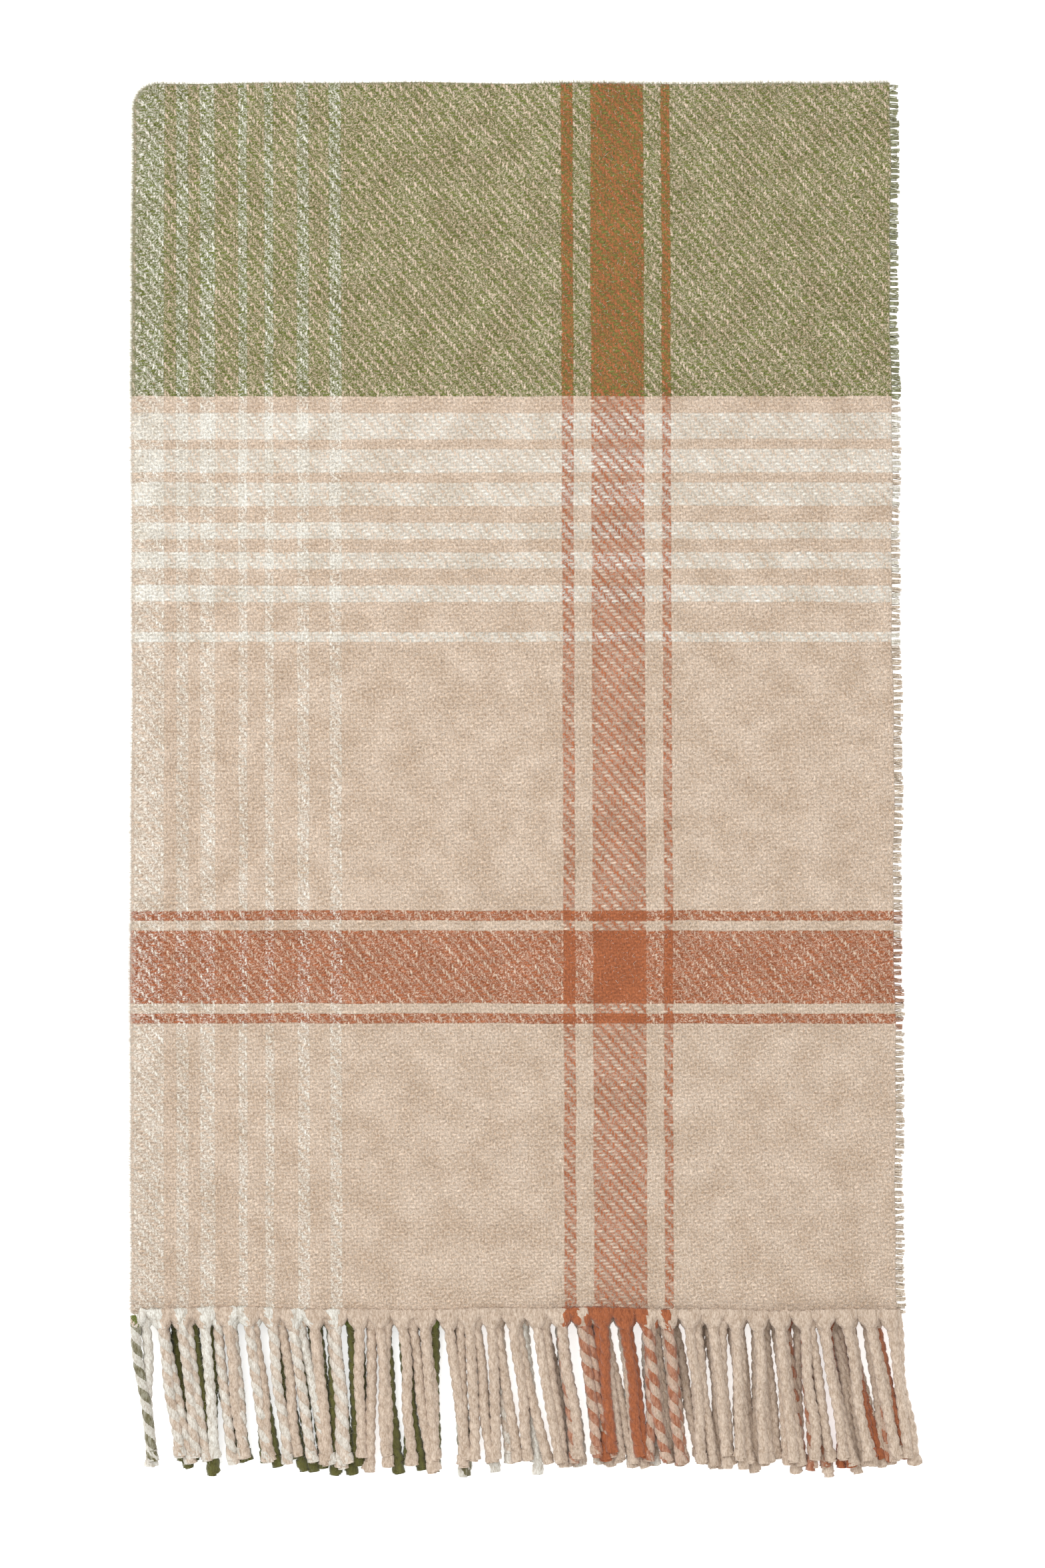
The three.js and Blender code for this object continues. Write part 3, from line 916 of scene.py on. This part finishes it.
def random_between(flow, low, high, seed):
    """A random number for each fibre."""
    made = flow.tree.nodes.new("FunctionNodeRandomValue")
    made.data_type = "FLOAT"
    for index, value in ((2, low), (3, high), (8, seed)):
        if isinstance(value, Flow):
            flow.tree.links.new(value.socket, made.inputs[index])
        else:
            made.inputs[index].default_value = value
    return Flow(flow.tree, made.outputs[1])


lean = random_between(flow, tease["Least lean"], tease["Most lean"], lean_seed)
spin = random_between(flow, 0.0, 2 * math.pi, tease["Seed"] + 2.0)
tilted = flow.node("FunctionNodeEulerToRotation", {}, {0: flow.point(lean, 0.0, spin)})
upright = Flow(flow.tree, scatter.outputs["Rotation"])
facing = flow.node("FunctionNodeRotateRotation", {"rotation_space": "LOCAL"}, {0: upright, 1: tilted})
reach = random_between(flow, 0.45, 1.0, tease["Seed"] + 3.0) * tease["Length"]
placed = flow.node("GeometryNodeInstanceOnPoints", {}, {
    "Points": Flow(flow.tree, scatter.outputs["Points"]), "Instance": fibre,
    "Rotation": facing, "Scale": reach})
close_tool(placed, tease["Finish"])


def nap_finish(name, colour):
    """Single wool fibres: one colour all over, and a soft shine along their sides."""
    made, shader, flow = new_material(name)
    shader.inputs["Base Color"].default_value = (*colour, 1.0)
    shader.inputs["Roughness"].default_value = 0.8
    shader.inputs["Specular IOR Level"].default_value = 0.2
    shader.inputs["Sheen Weight"].default_value = 0.4
    return made


naps = {
    "cream": nap_finish("cream_nap", (0.80, 0.75, 0.66)),
    "oatmeal": nap_finish("oatmeal_nap", (0.68, 0.56, 0.45)),
    "moss": nap_finish("moss_nap", (0.20, 0.22, 0.09)),
    "rust": nap_finish("rust_nap", (0.52, 0.22, 0.10)),
    # Painted light: the moss fibres of the top fold are given a pale lit green, far lighter than the moss
    # yarn.
    "pale_green": nap_finish("pale_green_nap", (0.52, 0.48, 0.32)),
}
fibre_floor = 0.0002


def tease_nap(name, source, where, finish, density, length, least, most, seed):
    """Fibres grown on a piece, as a piece of their own. where gives each point's share of the density."""
    points = np.array([vertex.co for vertex in source.data.vertices])
    normals = np.array([vertex.normal for vertex in source.data.vertices])
    shares = np.ones(len(points)) if where is None else where(points, normals)
    teased = source.data.attributes.new("teased", "FLOAT", "POINT")
    teased.data.foreach_set("value", shares.astype(np.float32))
    made = grow(nap_tool, source, name, {
        "Density": density, "Length": length, "Least lean": math.radians(least),
        "Most lean": math.radians(most), "Seed": seed, "Finish": finish})
    source.data.attributes.remove(source.data.attributes["teased"])
    for vertex in made.data.vertices:
        vertex.co.z = max(vertex.co.z, fibre_floor + 0.02 * vertex.co.z)
    return made


def on_face(points, normals):
    """The upper face of the front."""
    return (points[:, 2] > front_low.z - 0.001) * smooth(points[:, 0] - left, 0.0, 0.02)


def in_moss(points, normals):
    return on_face(points, normals) * (points[:, 1] > cloth_top - moss_band)


def on_edges(points, normals):
    """The sides of the roll and of the top fold, as far as they show."""
    roll = np.clip(-normals[:, 0], 0.0, 1.0) * (points[:, 0] < left + 0.010) * (points[:, 2] > 0.004)
    fold = np.clip(normals[:, 1], 0.0, 1.0) * (points[:, 1] > cloth_top - 0.008)
    fold = fold * (points[:, 2] > front_under.z)
    return np.maximum(roll, 1.6 * fold)


def at_brim(points, normals):
    """The last centimetre of the face above the hem."""
    return (1 - smooth(points[:, 1] - hem, 0.004, 0.014)) * (points[:, 2] > front_middle)


def green_edges(points, normals):
    return on_edges(points, normals) * (points[:, 1] > cloth_top - moss_band)


def other_edges(points, normals):
    return on_edges(points, normals) * (points[:, 1] <= cloth_top - moss_band)


cloth_naps = (
    ("front_face_nap", on_face, "cream", 15000.0, 0.0050, 62.0, 86.0, 1),
    ("front_moss_nap", in_moss, "moss", 30000.0, 0.0046, 60.0, 86.0, 2),
    # Painted light: the haze along the roll and the top fold is cream and lit green, paler than the yarns
    # under it.
    ("front_edge_nap", other_edges, "cream", 1150000.0, 0.0050, 8.0, 66.0, 3),
    ("front_top_nap", green_edges, "pale_green", 1700000.0, 0.0048, 8.0, 62.0, 4),
    ("front_hem_nap", at_brim, "oatmeal", 700000.0, 0.0050, 66.0, 88.0, 6),
)
for name, where, colour, density, length, least, most, seed in cloth_naps:
    piece = tease_nap(name, front_cloth, where, naps[colour], density, length, least, most, seed)
    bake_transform(piece, "back", "front", *front_cross)
    fringe_pieces["front"].append(piece)

tassel_nap_density = 36000.0
hidden_share = 0.25
for part in ("front", "back", "flap"):
    for piece in [piece for piece in fringe_pieces[part] if "tassels" in piece.name]:
        colour = piece.name.split("_")[3]
        fibres = tease_nap(f"{piece.name}_nap", piece, None, naps[colour],
                           tassel_nap_density * (1.0 if part == "front" else hidden_share),
                           0.0034, 15.0, 80.0, 5)
        if part == "front":
            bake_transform(fibres, "front", "front_fringe", *fringe_bend)
        else:
            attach(fibres, part)
        fringe_pieces[part].append(fibres)
